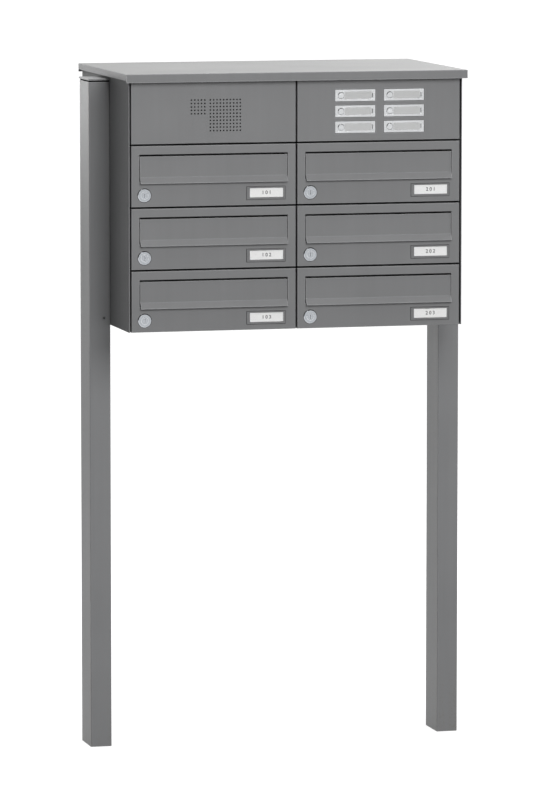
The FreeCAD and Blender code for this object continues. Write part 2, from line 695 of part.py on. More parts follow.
def make_lock_body(column, row):
    """Rosette and barrel in one piece, held by a hexagonal nut behind the door."""
    name = f"lock_body_{COLUMNS[column]}_{ROWS[row]}"
    housing = lock_frame(f"{name}_housing", column, row)
    bore = "(plug_diameter + plug_clearance) / 2"
    chamfer = "lock_disc_height / 2"
    profile = [
        (bore, "-lock_disc_height"),
        (f"lock_disc / 2 - {chamfer}", "-lock_disc_height"),
        ("lock_disc / 2", f"-lock_disc_height + {chamfer}"),
        ("lock_disc / 2", "0"),
        ("lock_barrel / 2", "0"),
        ("lock_barrel / 2", "lock_barrel_rear"),
        (bore, "lock_barrel_rear"),
    ]
    revolve(housing, "turned", profile)
    nut = lock_frame(f"{name}_nut", column, row)
    angles = [index * math.pi / 3 for index in range(6)]
    corners = [(f"{math.cos(a)} * lock_nut / 2", f"{math.sin(a)} * lock_nut / 2") for a in angles]
    pad(nut, "hexagon", "XZ", "sheet", "lock_nut_height", outline(corners), circle("0", "0", "lock_barrel"))
    return group(name, [housing, nut])


def make_lock_cam(column, row):
    """Turning plug with its keyway, the cam behind it and the screw that holds the cam."""
    name = f"lock_cam_{COLUMNS[column]}_{ROWS[row]}"
    cam = lock_frame(name, column, row)
    front = "-lock_disc_height - plug_proud"
    cam_front = "lock_barrel_rear + cam_gap"
    radius = "plug_diameter / 2"
    bevel = "plug_proud"
    profile = [
        ("0", front),
        (f"{radius} - {bevel}", front),
        (radius, f"{front} + {bevel}"),
        (radius, cam_front),
        ("0", cam_front),
    ]
    revolve(cam, "plug", profile)
    pad(cam, "hub", "XZ", cam_front, "cam_thickness", circle("0", "0", "cam_hub"))
    arm = rectangle("-cam_width / 2", "0", "cam_width / 2", "cam_reach")
    pad(cam, "arm", "XZ", cam_front, "cam_thickness", arm)
    pad(cam, "tip", "XZ", cam_front, "cam_thickness", circle("0", "cam_reach", "cam_width"))
    screw = circle("0", "0", "cam_screw")
    pad(cam, "screw", "XZ", f"{cam_front} + cam_thickness", "cam_screw_height", screw)
    keyway = rectangle("-keyway_width / 2", "-keyway_length / 2", "keyway_width / 2", "keyway_length / 2")
    pocket(cam, "keyway", "XZ", f"{front} - {PAST}", f"keyway_depth + {PAST}", keyway)
    return keep(cam, name)


def make_nameplate(column, row):
    """Moulded holder pushed into the door, with a shallow window for the label."""
    name = f"nameplate_{COLUMNS[column]}_{ROWS[row]}"
    holder = compartment(name, column, row)
    bezel = rectangle("plate_left", "plate_bottom", "plate_right", "plate_top")
    pad(holder, "bezel", "XZ", "-plate_proud", "plate_proud", bezel)
    front = edge_lies_at("Y", "-plate_proud")
    round_edges(holder, "bezel_edge", "plate_proud / 2", front)
    insert = inset_rectangle("plate_left", "plate_bottom", "plate_right", "plate_top", "plate_lap")
    pad(holder, "insert", "XZ", "0", "plate_rear", insert)
    window = rectangle("window_left", "window_bottom", "window_right", "window_top")
    pocket(holder, "window", "XZ", f"-plate_proud - {PAST}", f"plate_proud + {PAST} + window_floor", window)
    return keep(holder, name)


def make_hinge_pins():
    pins = []
    starts = ["pin_end", "row_pitch - door_gap - pin_end - pin_length"]
    for column in range(len(COLUMNS)):
        for row in range(len(ROWS)):
            for number, start in enumerate(starts):
                x = f"{column - 1} * column_pitch + {HINGE_X}"
                z = f"{row} * row_pitch + {HALF_GAP} + {start}"
                name = f"hinge_pin_{column}_{row}_{number}"
                pins.append(cylinder(name, x, "hinge_depth", z, "pin_diameter", "pin_length"))
    return group("door_hinge_pins", pins)


# Top row


def make_service_box():
    """Housing behind the two top panels, open at the front inside a rim and a middle bar."""
    box = new_body("service_box")
    z_range = ("service_base", "body_height")
    block(box, "shell", ("-column_pitch", "column_pitch"), ("box_front", "box_rear"), z_range)
    inner_x = ("-column_pitch + sheet", "column_pitch - sheet")
    inside = rectangle(inner_x[0], "service_base + sheet", inner_x[1], "body_height - sheet")
    depth = "box_rear - box_front - 2 * sheet"
    pocket(box, "inside", "XZ", "box_front + sheet", depth, inside)
    mouths = []
    for side in COLUMNS:
        left, right = span(side, "box_rim", "column_pitch - box_rim")
        mouths.append(rectangle(left, "service_base + box_rim", right, "body_height - box_rim"))
    pocket(box, "mouths", "XZ", f"box_front - {PAST}", f"sheet + 2 * {PAST}", *mouths)
    holes = bolt_circles(BOLT_HOLE, ["bolt_high"])
    for side in COLUMNS:
        wall = (f"column_pitch - sheet - {PAST}", f"column_pitch + {PAST}")
        pocket_across(box, f"{side}_bolt_holes", side, *wall, *holes)
    return keep(box, "service_box")


def top_panel(name, column):
    """Folded tray that closes one column of the top row."""
    panel = compartment(name, column)
    low = f"3 * row_pitch + {HALF_GAP}"
    pad(panel, "tray", "XZ", "0", "box_front", rectangle(HALF_GAP, low, DOOR_RIGHT, "panel_top"))
    right = "column_pitch - door_gap"
    inner = rectangle("door_gap", f"{low} + sheet", right, "panel_top - sheet")
    pocket(panel, "hollow", "XZ", "sheet", "box_front", inner)
    round_edges(panel, "front_edge", "door_edge", edge_lies_at("Y", "0"))
    return panel


def sound_holes(panel, name, left, count):
    """A square field of sound holes, from one hole and a pattern along two axes."""
    hole = circle(left, "holes_top", "hole_diameter")
    first = pocket(panel, name, "XZ", f"-{PAST}", f"sheet + 2 * {PAST}", hole)
    pattern = panel.newObject("PartDesign::LinearPattern", f"{panel.Name}_{name}_pattern")
    pattern.Originals = [first]
    pattern.Direction = (origin_feature(panel, "X_Axis"), [""])
    pattern.Direction2 = (origin_feature(panel, "Z_Axis"), [""])
    pattern.Reversed2 = True
    pattern.Mode = "Spacing"
    pattern.Mode2 = "Spacing"
    pattern.Spacings = [OWN_OFFSET]
    pattern.Spacings2 = [OWN_OFFSET]
    bind(pattern, "Offset", "hole_pitch")
    bind(pattern, "Offset2", "hole_pitch")
    bind(pattern, "Occurrences", count)
    bind(pattern, "Occurrences2", count)
    panel.Tip = pattern
    return pattern


def make_speaker_panel():
    panel = top_panel("speaker_panel", 0)
    sound_holes(panel, "speaker_field", "speaker_left", "speaker_count")
    sound_holes(panel, "microphone_field", "microphone_left", "microphone_count")
    return keep(panel, "speaker_panel")


def bell_place(column, row):
    """Lower left corner of one bell plate in the right column's frame."""
    return (f"bell_left + {column} * bell_across", f"bell_base + {row} * bell_up")


def bell_places():
    return [(column, row, *bell_place(column, row)) for column in range(2) for row in range(3)]


def make_bell_panel():
    panel = top_panel("bell_panel", 1)
    cut_outs = []
    for column, row, left, low in bell_places():
        right, high = f"{left} + bell_width + bell_gap", f"{low} + bell_height + bell_gap"
        cut_outs.append(rectangle(f"{left} - bell_gap", f"{low} - bell_gap", right, high))
    pocket(panel, "cut_outs", "XZ", f"-{PAST}", f"sheet + 2 * {PAST}", *cut_outs)
    return keep(panel, "bell_panel")


def make_bell_frame(column, row, left, low):
    """Bell plate with a raised border, a round hole for the button and a slot for the label catch."""
    frame = new_body(f"bell_frame_{column}_{row}", x=left, z=f"grid_base + {low}")
    plate = rectangle("0", "0", "bell_width", "bell_height")
    pad(frame, "plate", "XZ", "bell_inset", "bell_rear - bell_inset", plate)
    back = rectangle("-bell_lap", "-bell_lap", "bell_width + bell_lap", "bell_height + bell_lap")
    pad(frame, "backing", "XZ", "sheet", "bell_rear - sheet", back)
    inner = inset_rectangle("0", "0", "bell_width", "bell_height", "bell_border")
    pocket(frame, "field", "XZ", f"bell_inset - {PAST}", f"bell_field + {PAST}", inner)
    hole = circle("button_across", "bell_height / 2", "button_diameter + button_clearance")
    pocket(frame, "button_hole", "XZ", "0", f"bell_rear + {PAST}", hole)
    slot = rectangle(
        "bell_width - bell_slot_across - bell_slot_width / 2",
        "(bell_height - bell_slot_height) / 2",
        "bell_width - bell_slot_across + bell_slot_width / 2",
        "(bell_height + bell_slot_height) / 2",
    )
    pocket(frame, "catch_slot", "XZ", "0", "bell_rear / 2", slot)
    return frame


def make_bell_switch(column, row, left, low):
    """Push switch on two legs behind its bell plate, clear of the button's stem."""
    x, z = f"{left} + button_across", f"grid_base + {low} + bell_height / 2"
    switch = new_body(f"bell_switch_{column}_{row}", x=x, z=z)
    front = "button_rear + button_travel + switch_bracket / 2"
    half = "switch_size / 2"
    body = rectangle(f"-{half}", f"-{half}", half, half)
    pad(switch, "case", "XZ", front, "switch_depth", body)
    legs = [
        rectangle(f"-{half}", f"-{half}", half, f"-{half} + switch_bracket / 2"),
        rectangle(f"-{half}", f"{half} - switch_bracket / 2", half, half),
    ]
    pad(switch, "legs", "XZ", "bell_rear", f"{front} - bell_rear", *legs)
    return switch


def make_bell_button(column, row, left, low):
    """Round cap on a stem."""
    name = f"bell_button_{COLUMNS[column]}_{BELL_ROWS[row]}"
    x, z = f"{left} + button_across", f"grid_base + {low} + bell_height / 2"
    button = new_body(name, x=x, z=z)
    radius = "button_diameter / 2"
    profile = [
        ("0", "-button_proud"),
        (f"{radius} - button_proud", "-button_proud"),
        (radius, "0"),
        (radius, "button_cap_rear"),
        ("button_stem / 2", "button_cap_rear"),
        ("button_stem / 2", "button_rear"),
        ("0", "button_rear"),
    ]
    revolve(button, "turned", profile)
    return keep(button, name)


def make_intercom_housing():
    """Cup behind the sound holes, closed at the front by the speaker panel."""
    housing = compartment("intercom_housing", 0)
    outer = rectangle("intercom_left", "intercom_bottom", "intercom_right", "intercom_top")
    pad(housing, "cup", "XZ", "sheet", "intercom_rear - sheet", outer)
    wall = "intercom_wall"
    inner = inset_rectangle("intercom_left", "intercom_bottom", "intercom_right", "intercom_top", wall)
    pocket(housing, "hollow", "XZ", f"sheet - {PAST}", f"intercom_rear - sheet - {wall} + {PAST}", inner)
    return keep(housing, "intercom_housing")


def field_centre(left, count):
    """Middle of a field of sound holes, as X and Z expressions."""
    half = f"({count} - 1) * hole_pitch / 2"
    return (f"{left} + {half}", f"holes_top - {half}")


def make_speaker_and_microphone():
    centre_x, centre_z = field_centre("speaker_left", "speaker_count")
    speaker = new_body("loudspeaker", x=f"{centre_x} - column_pitch", z=f"{centre_z} + grid_base")
    rear = "intercom_rear - intercom_wall"
    rim_rear = "speaker_front + speaker_rim"
    cone_and_basket = [
        ("0", "speaker_front + speaker_dish"),
        ("speaker_diameter / 2", "speaker_front"),
        ("speaker_diameter / 2", rim_rear),
        ("speaker_basket / 2", f"{rim_rear} + speaker_dish"),
        ("magnet_diameter / 2", "magnet_front"),
        ("magnet_diameter / 2", rear),
        ("0", rear),
    ]
    revolve(speaker, "turned", cone_and_basket)
    centre_x, centre_z = field_centre("microphone_left", "microphone_count")
    microphone = new_body("microphone", x=f"{centre_x} - column_pitch", z=f"{centre_z} + grid_base")
    radius = "microphone_diameter / 2"
    capsule = [("0", "sheet"), (radius, "sheet"), (radius, "microphone_rear"), ("0", "microphone_rear")]
    revolve(microphone, "turned", capsule)
    return group("loudspeaker_and_microphone", [speaker, microphone])


# Fasteners


def make_mounting_bolts():
    """Bolts from inside the boxes through the side panels into rivet nuts in the posts."""
    pieces = []
    fronts = ["bolt_front", "bolt_front + bolt_spread"]
    for side in COLUMNS:
        outwards = Vector(1 if side == "right" else -1, 0, 0)
        for number, (depth, height) in enumerate((d, h) for d in fronts for h in BOLT_HEIGHTS):
            name = f"{side}_bolt_{number}"
            inner_face = span(side, "column_pitch - sheet", "column_pitch - sheet")[0]
            head_x = span(side, "column_pitch - sheet - bolt_head_height", "0")[0 if side == "right" else 1]
            head = cylinder(f"{name}_head", head_x, depth, height, "bolt_head", "bolt_head_height", outwards)
            length = "bolt_end + sheet"
            shank = cylinder(f"{name}_shank", inner_face, depth, height, "bolt_diameter", length, outwards)
            pieces.append(boolean("Fuse", name, head, shank))
            nut_x = span(side, f"{SIDE_OUTER} + post_wall", f"{SIDE_OUTER} + post_wall")[0]
            nut_axis = (nut_x, depth, height)
            shell = cylinder(f"{name}_nut_shell", *nut_axis, "nut_diameter", "nut_length", outwards)
            bore = cylinder(f"{name}_nut_bore", *nut_axis, "bolt_diameter", "nut_length", outwards)
            pieces.append(boolean("Cut", f"{name}_nut", shell, bore))
    return group("mounting_bolts", pieces)


def cover_screw(name, x, face, z, length, towards):
    """A flat-headed screw whose head sits on a face; towards is +1 when it is driven along +Y."""
    axis = Vector(0, towards, 0)
    shank = cylinder(f"{name}_shank", x, face, z, "screw_diameter", length, axis)
    head = cylinder(f"{name}_head", x, face, z, "screw_head", "screw_head_height", -axis)
    return boolean("Fuse", name, shank, head)


def make_cover_screws():
    """Rear panel screws, and one screw in the front wall of each post."""
    screws = []
    for side in COLUMNS:
        for number, (across, height) in enumerate(rear_screw_places()):
            x = span(side, across, across)[0]
            name = f"{side}_rear_screw_{number}"
            screws.append(cover_screw(name, x, "body_depth", height, "2 * sheet", -1))
        across = f"{SIDE_OUTER} + post_screw_across"
        x = span(side, across, across)[0]
        name = f"{side}_post_screw"
        screws.append(cover_screw(name, x, "post_front", "post_screw_height", "post_wall + sheet", 1))
    return group("cover_screws", screws)


# The whole unit


def build():
    for side in COLUMNS:
        make_post(side)
        make_side_panel(side)
    group("post_caps", [make_post_cap(side) for side in COLUMNS])
    make_rear_panel()
    make_bottom_panel()
    make_roof()
    for column in range(len(COLUMNS)):
        for row in range(len(ROWS)):
            make_mailbox_box(column, row)
            make_door(column, row)
            make_flap(column, row)
            make_lock_body(column, row)
            make_lock_cam(column, row)
            make_nameplate(column, row)
    make_hinge_pins()
    make_service_box()
    make_speaker_panel()
    make_bell_panel()
    group("bell_frames", [make_bell_frame(*bell) for bell in bell_places()])
    group("bell_switches", [make_bell_switch(*bell) for bell in bell_places()])
    for bell in bell_places():
        make_bell_button(*bell)
    make_intercom_housing()
    make_speaker_and_microphone()
    make_mounting_bolts()
    make_cover_screws()
    document.recompute()


def check():
    """Stops if any object failed, if a sub-part is not valid, or if a feature changed nothing."""
    faults = []
    for thing in document.Objects:
        if {"Invalid", "Error"} & set(thing.State):
            faults.append(f"{thing.Name} failed: {thing.State}")
        if thing.TypeId in ("PartDesign::Pocket", "PartDesign::LinearPattern"):
            if thing.Shape.Volume > thing.BaseFeature.Shape.Volume - 1e-3:
                faults.append(f"{thing.Name} cuts nothing")
    for thing in sub_parts:
        if thing.Shape.isNull() or not thing.Shape.isValid() or not thing.Shape.Solids:
            faults.append(f"{thing.Label} has no valid solid")
    if faults:
        raise RuntimeError("\n".join(faults))


def write():
    os.makedirs("parts", exist_ok=True)
    for thing in sub_parts:
        thing.Shape.exportStep(f"parts/{thing.Label}.step")


build()
check()
write()
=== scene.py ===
import json
import math

import bmesh
import bpy
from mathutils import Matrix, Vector


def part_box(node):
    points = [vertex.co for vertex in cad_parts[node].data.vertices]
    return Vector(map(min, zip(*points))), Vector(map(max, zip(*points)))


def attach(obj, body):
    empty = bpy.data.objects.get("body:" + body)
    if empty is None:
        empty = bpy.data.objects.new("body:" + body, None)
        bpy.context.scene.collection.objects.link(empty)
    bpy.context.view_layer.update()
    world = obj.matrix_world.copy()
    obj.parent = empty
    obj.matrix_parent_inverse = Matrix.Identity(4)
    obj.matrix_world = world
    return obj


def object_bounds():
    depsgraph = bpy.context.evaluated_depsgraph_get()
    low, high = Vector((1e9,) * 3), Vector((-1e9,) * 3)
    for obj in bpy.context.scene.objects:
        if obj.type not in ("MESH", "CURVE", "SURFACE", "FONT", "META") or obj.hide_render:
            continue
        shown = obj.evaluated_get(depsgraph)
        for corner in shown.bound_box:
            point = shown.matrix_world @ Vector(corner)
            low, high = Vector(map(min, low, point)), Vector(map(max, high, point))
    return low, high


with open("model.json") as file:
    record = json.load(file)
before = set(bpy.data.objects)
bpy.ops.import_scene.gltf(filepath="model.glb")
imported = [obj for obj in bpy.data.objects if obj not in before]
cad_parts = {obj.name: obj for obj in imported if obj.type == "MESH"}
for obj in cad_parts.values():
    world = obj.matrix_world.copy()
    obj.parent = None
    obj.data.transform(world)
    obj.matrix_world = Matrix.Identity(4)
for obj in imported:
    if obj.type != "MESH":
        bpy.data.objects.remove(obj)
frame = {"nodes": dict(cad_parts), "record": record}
CAD_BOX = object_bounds()
RECORD = frame["record"]

MM = 0.001
COLUMNS = ["left", "right"]
ROWS = ["bottom", "middle", "top"]
COMPARTMENTS = [f"{column}_{row}" for column in COLUMNS for row in ROWS]

# Sizes shared with the CAD model, in millimetres

FRONT = -180.0  # the front face of doors and panels, in Y
GRID_BASE = 757.0  # the lower edge of the lowest row, in Z
COLUMN_PITCH = 300.0
ROW_PITCH = 110.0
BOX_FRONT = 15.0  # how far the boxes' rims lie behind the front face
RIM = 8.0
DOOR_GAP = 3.0
SLOT_LEFT = 16.0
SLOT_TOP = 92.3
LOCK = (25.0, 22.0)  # from the compartment's lower left corner
LOCK_DISC = 24.0
WINDOW = (215.1, 14.9, 276.0, 31.6)  # left, low, right and high, from the same corner
WINDOW_FLOOR = 0.7
BELL_SIZE = (73.6, 20.6)
BELL_BORDER = 3.4
BELL_FLOOR = 0.9
BUTTON_ACROSS = 11.0  # from the bell plate's left end to the button's centre
BUTTON_HOLE = 11.8
CATCH_ACROSS = 5.4
CAP_THICKNESS = 3.0
POST_WALL = 2.5
POST_SCREW = (12.0, 14.0)  # out from the side panel and up from the lowest row's edge
REAR_SCREW_INSET = 7.0
REAR_SCREWS = [20.0, 158.0, 296.0, 434.0]  # heights above the lowest row's edge

# Sizes of the pieces added here, in millimetres. A pair of depths is front and rear.

# Thin black bands that paint shadow lines round the name holders, locks and bell plates, and above
# the slots.
SHADE_LINE_WIDTH = 0.6
SHADE_LINE_DEPTHS = (-0.12, 0.05)
SHADE_LINE_CORNERS = (0.8, 0.3)  # radius outside and inside
SLOT_SHADE = (0.1, 1.3)  # lower and upper edge above the slot's top
SLOT_SHADE_REAR = 0.4
SLOT_SHADE_CORNER = 0.4
CARD_MARGIN = 0.25
CARD_DEPTHS = (-0.35, -0.05)
COVER_MARGIN = 0.1
COVER_DEPTHS = (-1.0, -0.45)
CARD_CORNER = 0.8
COVER_CORNER = 0.6
CARD_EDGE = 0.06  # how far the sharp edges are rounded, here and below
COVER_EDGE = 0.1
NUMBER_DEPTH = -0.37
NUMBER_HEIGHT = 8.6
NUMBER_SPACING = 1.5
NUMBER_THICKNESS = 0.01  # to each side of the middle
NUMBER_WEIGHT = 0.15  # added all round each stroke
STRIP_MARGINS = (1.2, 0.4, 1.6)  # left, above and below, right
STRIP_DEPTHS = (-0.25, -0.02)
STRIP_EDGE = 0.05
BELL_COVER_OVERLAP = 0.4
BELL_COVER_DEPTHS = (-0.55, -0.3)
BELL_COVER_EDGE = 0.08
# Black strips on the box rims, painting the shade seen in the gaps between the doors.
GAP_SHADE_WIDTH = 7.6
GAP_SHADE_LAP = RIM - 1  # how far the strips reach above and below a gap's line
GAP_SHADE_DEPTHS = (-0.9, -0.02)
GAP_SHADE_EDGE = 0.3
CLOTH_INSET = 2.2
CLOTH_CORNER = 3.0
CLOTH_DEPTHS = (1.52, 1.72)
# A black ring that paints the shade in the gap under each post cap.
CAP_SHADE_INSET = 0.7
CAP_SHADE_CORNERS = (2.0, 0.6)  # radius outside and inside
FIT = 0.05  # play between the shade ring and the post or the cap
# A black hexagon in each screw head paints the shade of its socket.
SOCKET_ACROSS = 3.2
SOCKET_DEPTHS = (0.03, -0.3)  # out of the screw's head

# Camera, light and shading, in metres, degrees and watts. The lens is in millimetres.

CENTRE = (CAD_BOX[0] + CAD_BOX[1]) / 2
CAMERA_AZIMUTH = -14.48
CAMERA_ELEVATION = 6.51
CAMERA_DISTANCE = 10.15
CAMERA_LENS = 254.0
CAMERA_RISE = 6 * MM
CAMERA_CLIP = (0.1, 200.0)
WHITE = (1.0, 1.0, 1.0, 1.0)
SKYLIGHT = ("ceiling_panel", 1.25, 40)  # name, strength, softness
SOFTBOXES = [  # name, azimuth, elevation, distance, size, power
    ("front_softbox", 6, 29, 4.5, (2.2, 2.2), 124),
    ("rear_softbox", 140, 35, 4.5, (2.4, 2.4), 90),
    ("left_rear_softbox", -166, 14, 3.4, (1.0, 1.2), 15),
]
REAR_WALL = 0.9
REAR_WALL_EDGES = (0.66, 0.9)  # where it begins and where it is full, in the direction's Y
HORIZON = 0.85
HORIZON_TOP = 0.12
HORIZON_BOTTOM = -0.03
CEILING = 0.3
CEILING_EDGES = (0.35, 0.95)  # the same, in Z
WALLS = 0.105
FLOOR_HALF = 80.0
FLOOR_GREY = (0.35, 0.35, 0.35, 1.0)
FLOOR_GLOW = 0.84
EDGE_COSINES = (0.99, 0.85)  # of the rounded normal's turn, where an edge begins and is full
EDGE_SAMPLES = 4
FACING_UP = (0.75, 0.98)  # the normal's Z, where dust begins to lie and is full


def look_from(azimuth, elevation, distance, target):
    """A point at a distance from the target, and the rotation that looks back at it."""
    a, e = math.radians(azimuth), math.radians(elevation)
    back = Vector((math.sin(a) * math.cos(e), -math.cos(a) * math.cos(e), math.sin(e)))
    return target + back * distance, (-back).to_track_quat("-Z", "Y").to_euler()


def make_camera():
    camera = bpy.data.objects.new("camera", bpy.data.cameras.new("camera"))
    bpy.context.scene.collection.objects.link(camera)
    camera.data.lens = CAMERA_LENS
    camera.data.clip_start, camera.data.clip_end = CAMERA_CLIP
    target = CENTRE + Vector((0, 0, CAMERA_RISE))
    camera.location, camera.rotation_euler = look_from(
        CAMERA_AZIMUTH, CAMERA_ELEVATION, CAMERA_DISTANCE, target
    )
    bpy.context.scene.camera = camera


def softbox(name, azimuth, elevation, distance, size, power):
    """A rectangular lamp that looks at the object's middle."""
    light = bpy.data.objects.new(name, bpy.data.lights.new(name, "AREA"))
    bpy.context.scene.collection.objects.link(light)
    light.data.shape = "RECTANGLE"
    light.data.size, light.data.size_y = size
    light.data.energy = power
    light.location, light.rotation_euler = look_from(azimuth, elevation, distance, CENTRE)


def skylight(name, strength, softness):
    """A wide soft light from straight above."""
    light = bpy.data.objects.new(name, bpy.data.lights.new(name, "SUN"))
    bpy.context.scene.collection.objects.link(light)
    light.data.energy = strength
    light.data.angle = math.radians(softness)


class Tree:
    """A node tree with short ways to add and join nodes."""

    def __init__(self, owner):
        owner.use_nodes = True
        self.tree = owner.node_tree
        self.nodes = self.tree.nodes

    def add(self, kind, inputs=(), output=0, **settings):
        """Adds a node, sets or links its inputs, and returns one of its outputs."""
        node = self.nodes.new(kind)
        for key, entry in settings.items():
            setattr(node, key, entry)
        for key, entry in dict(inputs).items():
            self.join(node.inputs[key], entry)
        return node.outputs[output]

    def join(self, socket, entry):
        """Links an output to a socket, or sets the socket to a constant."""
        if isinstance(entry, bpy.types.NodeSocket):
            self.tree.links.new(entry, socket)
        else:
            socket.default_value = entry

    def math(self, operation, first, second=0.0, third=0.0):
        entries = {0: first, 1: second, 2: third}
        return self.add("ShaderNodeMath", entries, operation=operation)

    def between(self, entry, low, high, to_low=0.0, to_high=1.0, smooth=False):
        """Maps low..high of an entry to to_low..to_high, clamped."""
        inputs = {"Value": entry, "From Min": low, "From Max": high}
        inputs.update({"To Min": to_low, "To Max": to_high})
        kind = "SMOOTHSTEP" if smooth else "LINEAR"
        return self.add("ShaderNodeMapRange", inputs, interpolation_type=kind)

    def axes(self, vector):
        """The X, Y and Z of a vector."""
        node = self.nodes.new("ShaderNodeSeparateXYZ")
        self.join(node.inputs[0], vector)
        return list(node.outputs)

    def place(self):
        """Object coordinates, in metres."""
        return self.add("ShaderNodeTexCoord", output="Object")

    def stretched(self, vector, scale):
        """A vector with its axes scaled apart, for long or flat noise."""
        return self.add("ShaderNodeMapping", {"Vector": vector, "Scale": scale})

    def noise(self, vector, scale, detail=2.0, distortion=0.0):
        inputs = {"Vector": vector, "Scale": scale, "Detail": detail, "Distortion": distortion}
        return self.add("ShaderNodeTexNoise", inputs)

    def mix(self, factor, first, second):
        """A colour between two, by a factor."""
        node = self.nodes.new("ShaderNodeMix")
        node.data_type = "RGBA"
        for key, entry in (("Factor", factor), ("A", first), ("B", second)):
            socket = next(s for s in node.inputs if s.name == key and s.enabled)
            self.join(socket, entry)
        return next(s for s in node.outputs if s.enabled)

    def bump(self, height, strength, distance):
        inputs = {"Height": height, "Strength": strength, "Distance": distance}
        return self.add("ShaderNodeBump", inputs)

    def edges(self, radius):
        """1 along edges, 0 on faces."""
        rounded = self.add("ShaderNodeBevel", {"Radius": radius}, samples=EDGE_SAMPLES)
        normal = self.add("ShaderNodeNewGeometry", output="Normal")
        pair = {0: rounded, 1: normal}
        along = self.add("ShaderNodeVectorMath", pair, output="Value", operation="DOT_PRODUCT")
        return self.between(along, *EDGE_COSINES)

    def upward(self):
        """0 to 1 as a face turns up."""
        normal = self.add("ShaderNodeNewGeometry", output="Normal")
        return self.between(self.axes(normal)[2], *FACING_UP)

    def surface(self, shader, shade, gloss, normal):
        """Joins colour, roughness and bump to the shader."""
        self.join(shader.inputs["Base Color"], shade)
        self.join(shader.inputs["Roughness"], gloss)
        self.join(shader.inputs["Normal"], normal)


def make_world():
    """Studio walls: bright behind the object and pale at the horizon, dim elsewhere."""
    world = bpy.data.worlds.new("studio")
    tree = Tree(world)
    y, z = tree.axes(tree.add("ShaderNodeTexCoord", output="Generated"))[1:]
    rear = tree.between(y, *REAR_WALL_EDGES, 0.0, REAR_WALL, smooth=True)
    above = tree.between(z, HORIZON_TOP, 0.0, 0.0, HORIZON)
    horizon = tree.math("MULTIPLY", above, tree.between(z, HORIZON_BOTTOM, 0.0))
    ceiling = tree.between(z, *CEILING_EDGES, 0.0, CEILING, smooth=True)
    walls = tree.math("MAXIMUM", rear, horizon)
    light = tree.math("ADD", tree.math("ADD", walls, ceiling), WALLS)
    background = tree.nodes["Background"]
    background.inputs["Color"].default_value = WHITE
    tree.join(background.inputs["Strength"], light)
    bpy.context.scene.world = world


def make_lights():
    bpy.context.scene.view_settings.view_transform = "Standard"
    make_world()
    skylight(*SKYLIGHT)
    for lamp in SOFTBOXES:
        softbox(*lamp)


def make_floor():
    """A wide pale floor that glows a little and throws no light back onto the object."""
    mesh = bpy.data.meshes.new("floor")
    half = FLOOR_HALF
    corners = [(-half, -half, 0), (half, -half, 0), (half, half, 0), (-half, half, 0)]
    mesh.from_pydata(corners, [], [(0, 1, 2, 3)])
    floor = bpy.data.objects.new("floor", mesh)
    bpy.context.scene.collection.objects.link(floor)
    glow = {"Emission_Color": WHITE, "Emission_Strength": FLOOR_GLOW}
    finish = {"Base_Color": FLOOR_GREY, "Roughness": 0.95, "Specular_IOR_Level": 0.0}
    mesh.materials.append(new_material("floor", **finish, **glow)[0])
    floor.visible_diffuse = False


# Materials

PAINT = (0.190, 0.192, 0.196)
NICKEL = (0.405, 0.425, 0.45)
DUST_AND_TOP_LIGHT = (0.385, 0.385, 0.382, 1.0)
MUD = (0.20, 0.185, 0.16, 1.0)
SPLASH_HEIGHT = 0.16  # metres
PITTED_NICKEL = (0.35, 0.34, 0.32, 1.0)
RIM_HIGHLIGHT = (0.9, 0.92, 0.94, 1.0)
BLACK = (0.004, 0.004, 0.004, 1.0)
CLEAR_GLOSS = (0.12, 0.006)  # share of gloss added at a slant, and straight on
NOISE_RANGE = (0.3, 0.7)  # where nearly all of a noise lies


def tinted(colour, factor):
    """A colour made lighter or darker, with its alpha."""
    return tuple(min(1.0, channel * factor) for channel in colour[:3]) + (1.0,)


def new_material(name, **constants):
    """A material and its tree, with the shader's constant sockets set."""
    material = bpy.data.materials.new(name)
    tree = Tree(material)
    shader = tree.nodes["Principled BSDF"]
    for key, entry in constants.items():
        shader.inputs[key.replace("_", " ")].default_value = entry
    return material, tree, shader


